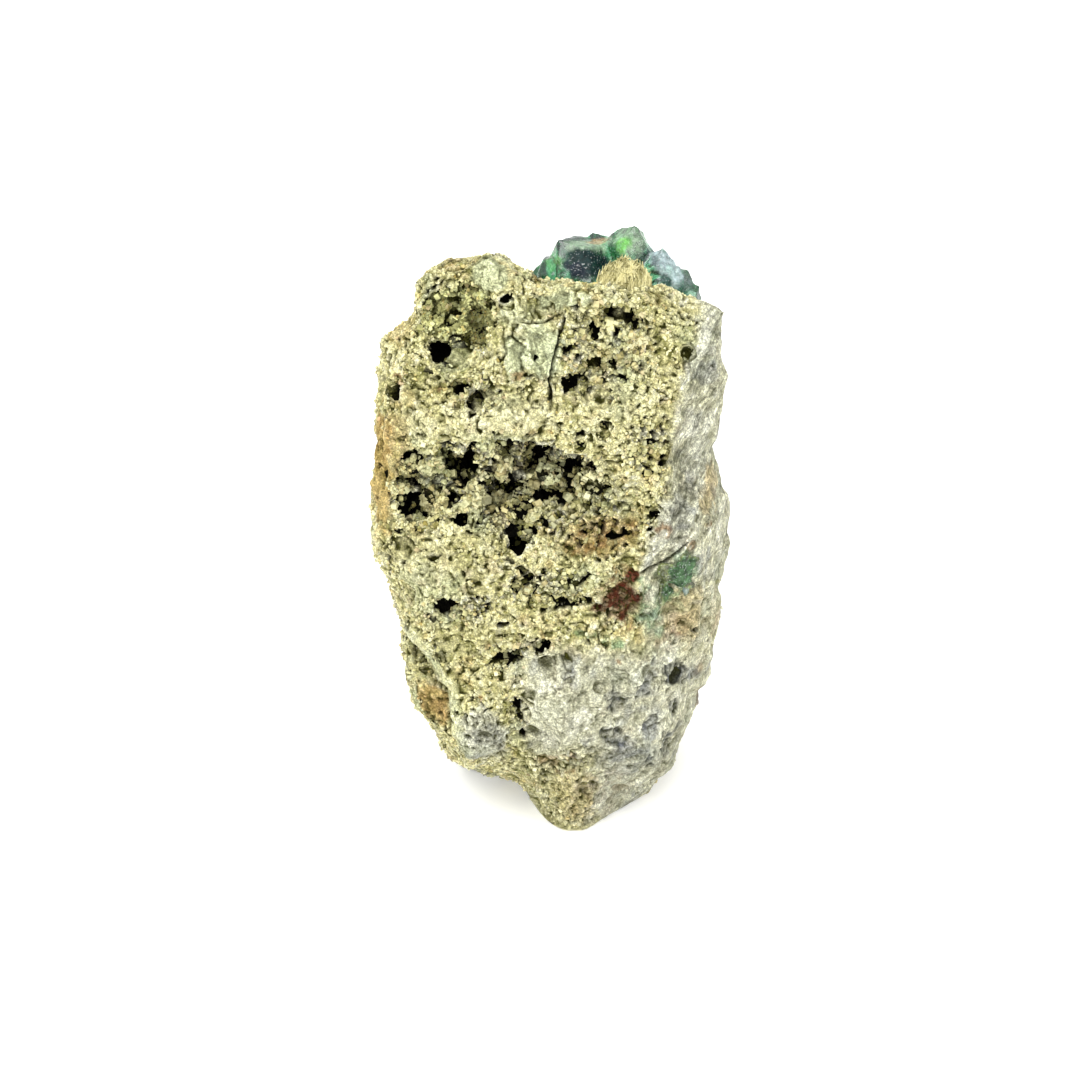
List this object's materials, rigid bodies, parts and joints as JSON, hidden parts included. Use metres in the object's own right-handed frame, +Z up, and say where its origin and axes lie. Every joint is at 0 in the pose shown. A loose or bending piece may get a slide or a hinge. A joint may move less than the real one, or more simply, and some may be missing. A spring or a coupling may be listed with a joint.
{
  "type": "demantoid garnet specimen on matrix",
  "caption": "Natural mineral specimen: an upright block of pale granular rock with a druse of green garnet crystals over its crest and back, standing on a small flat resting face.",
  "frame": {"origin": "on the flat resting face at the foot of the block, below the middle of the specimen", "axes": "+Z up along the height, -Y towards the broad bare front, +Y towards the druse on the back, +X to the right seen from the front"},
  "size_m": [0.0376, 0.0325, 0.0609],
  "materials": {
    "rock": "matte",
    "garnet": "gloss"
  },
  "bodies": {
    "root": {"matrix": "rock", "demantoid_druse": "garnet", "demantoid_crystal_1": "garnet", "demantoid_crystal_2": "garnet", "demantoid_crystal_3": "garnet", "demantoid_spot": "garnet"}
  },
  "joints": []
}
